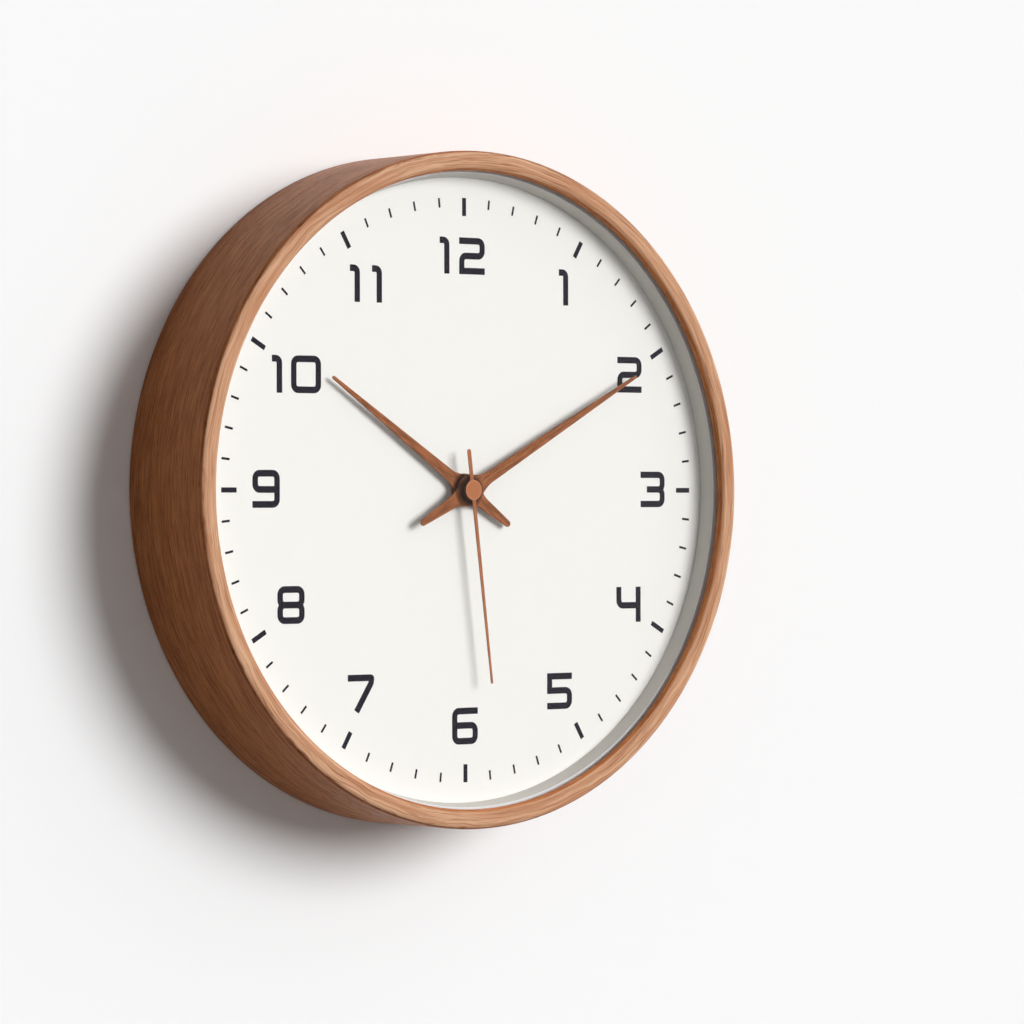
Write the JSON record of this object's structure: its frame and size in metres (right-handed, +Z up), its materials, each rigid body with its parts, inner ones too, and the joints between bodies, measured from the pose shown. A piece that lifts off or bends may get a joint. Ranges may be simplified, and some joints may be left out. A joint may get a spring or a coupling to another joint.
{
  "type": "wall clock",
  "caption": "Round wall clock with a bent-wood drum case, a flat lens over a recessed dial, plate hands, and a geared movement with its battery behind the board.",
  "frame": {"origin": "centre of the case, on the axis of the hands and half way between the front rim and the wall", "axes": "+Z up past twelve, +X to the right of someone who reads the dial, dial facing -Y, wall at +Y"},
  "size_m": [0.3, 0.055, 0.3],
  "materials": {
    "veneered_wood": "satin oiled veneer",
    "plain_wood": "sawn and sanded",
    "fibreboard": "raw fibreboard",
    "lens": "clear polished",
    "spacer": "matt",
    "dial": "matt white print",
    "hands": "wood-toned matt paint",
    "second_hand": "copper-toned satin",
    "brass": "bright turned",
    "steel": "plated",
    "gasket": "matt",
    "movement_case": "fine moulded texture",
    "wheels": "moulded",
    "magnet": "sintered, dark",
    "copper": "enamelled wire",
    "circuit": "solder mask",
    "battery": "plain printed sleeve"
  },
  "bodies": {
    "case": {"case_ring": "veneered_wood", "lens_glass": "lens", "spacer_ring": "spacer", "dial_card": "dial", "dial_board": "fibreboard", "retaining_hoop": "plain_wood", "hoop_screw_1": "steel", "hoop_screw_2": "steel", "hoop_screw_3": "steel", "hoop_screw_4": "steel", "hanger_block": "plain_wood", "hanger_plate": "steel", "hanger_screw_1": "steel", "hanger_screw_2": "steel", "dial_nut": "brass", "dial_washer": "brass", "movement_gasket": "gasket", "threaded_bushing": "brass", "movement_base": "movement_case", "train_plate": "wheels", "movement_cover": "movement_case", "stator": "steel", "coil_core": "steel", "coil_bobbin": "wheels", "coil_winding": "copper", "circuit_board": "circuit", "chip_blob": "movement_case", "crystal_can": "steel", "contact_minus": "steel", "contact_plus": "steel"},
    "seconds": {"second_hand": "second_hand", "second_hand_cap": "second_hand", "seconds_arbor": "steel", "seconds_wheel": "wheels"},
    "fifth": {"fifth_wheel": "wheels"},
    "rotor": {"rotor": "magnet"},
    "third": {"third_wheel": "wheels"},
    "centre": {"centre_wheel": "wheels"},
    "minute": {"minute_hand": "hands", "minute_tube": "steel"},
    "motion": {"motion_wheel": "wheels"},
    "hour": {"hour_hand": "hands", "hour_wheel": "wheels"},
    "knob": {"setting_knob": "wheels"},
    "battery": {"battery": "battery"}
  },
  "joints": [
    {"name": "seconds_turn", "type": "hinge", "parent": "case", "child": "seconds", "pos_m": [0, 0, 0], "axis": [0, 1, 0], "continuous": true},
    {"name": "fifth_turn", "type": "hinge", "parent": "case", "child": "fifth", "pos_m": [0.00263, 0, 0.00722], "axis": [0, 1, 0], "continuous": true},
    {"name": "rotor_turn", "type": "hinge", "parent": "case", "child": "rotor", "pos_m": [0.00146, 0, 0.01383], "axis": [0, 1, 0], "continuous": true},
    {"name": "third_turn", "type": "hinge", "parent": "case", "child": "third", "pos_m": [-0.01043, 0, 0.0028], "axis": [0, 1, 0], "continuous": true},
    {"name": "centre_turn", "type": "hinge", "parent": "case", "child": "centre", "pos_m": [0, 0, 0], "axis": [0, 1, 0], "continuous": true},
    {"name": "minute_turn", "type": "hinge", "parent": "case", "child": "minute", "pos_m": [0, 0, 0], "axis": [0, 1, 0], "continuous": true},
    {"name": "motion_turn", "type": "hinge", "parent": "case", "child": "motion", "pos_m": [0.0096, 0, 0], "axis": [0, 1, 0], "continuous": true},
    {"name": "hour_turn", "type": "hinge", "parent": "case", "child": "hour", "pos_m": [0, 0, 0], "axis": [0, 1, 0], "continuous": true},
    {"name": "knob_turn", "type": "hinge", "parent": "case", "child": "knob", "pos_m": [0.01791, 0, 0.0048], "axis": [0, 1, 0], "continuous": true},
    {"name": "battery_slide", "type": "slide", "parent": "case", "child": "battery", "axis": [0, 1, 0], "range_m": [0, 0.03]}
  ],
  "couplings": [
    {"joint": "fifth_turn", "follows": "seconds_turn", "ratio": -5},
    {"joint": "rotor_turn", "follows": "seconds_turn", "ratio": 30},
    {"joint": "third_turn", "follows": "seconds_turn", "ratio": -0.13333},
    {"joint": "centre_turn", "follows": "seconds_turn", "ratio": 0.016667},
    {"joint": "motion_turn", "follows": "minute_turn", "ratio": -0.33333},
    {"joint": "hour_turn", "follows": "minute_turn", "ratio": 0.083333},
    {"joint": "knob_turn", "follows": "minute_turn", "ratio": 1}
  ]
}
